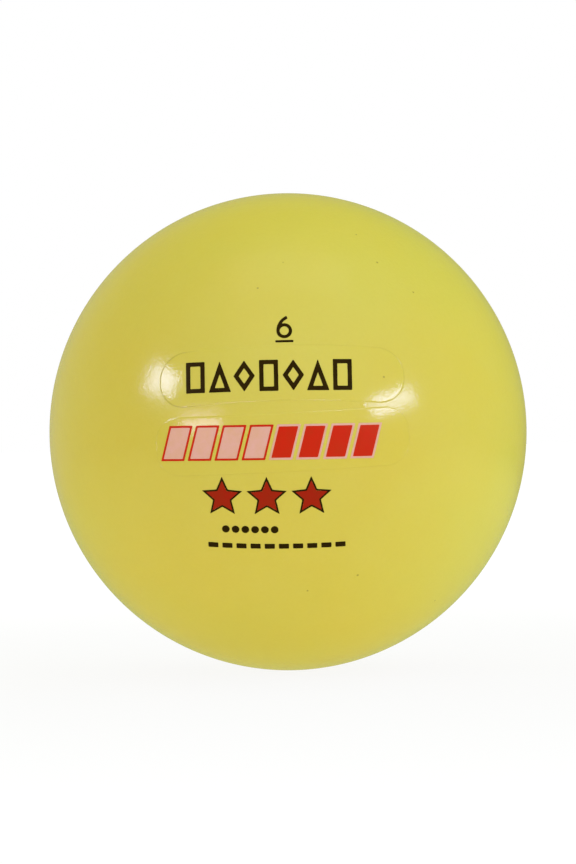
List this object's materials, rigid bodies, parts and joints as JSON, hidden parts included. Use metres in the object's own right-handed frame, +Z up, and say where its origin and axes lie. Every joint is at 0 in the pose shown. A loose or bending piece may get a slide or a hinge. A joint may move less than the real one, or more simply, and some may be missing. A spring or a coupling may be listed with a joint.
{
  "type": "inflatable playground ball",
  "caption": "Smooth glossy yellow inflatable playground ball with printed badge shapes on one side and a needle valve on the other.",
  "frame": {"origin": "centre of the ball", "axes": "+Z up; the printed badge faces -Y; the valve is on the +Y pole and its needle port opens towards +Y; the mould parting line lies in the XZ plane"},
  "size_m": [0.1526, 0.1526, 0.1526],
  "materials": {
    "skin": "gloss",
    "valve_seat": "satin",
    "valve_core": "satin",
    "ink_black": "gloss",
    "ink_red": "gloss",
    "ink_pale": "gloss"
  },
  "bodies": {
    "root": {"ball_skin": "skin", "valve_seat": "valve_seat", "valve_core": "valve_core", "print_size_numeral": "ink_black", "print_shape_row": "ink_black", "print_bars_pale": "ink_pale", "print_bars_pale_outline": "ink_red", "print_bars_red": "ink_red", "print_bars_red_outline": "ink_pale", "print_stars_red": "ink_red", "print_stars_outline": "ink_black", "print_dot_row": "ink_black", "print_dash_row": "ink_black"}
  },
  "joints": []
}
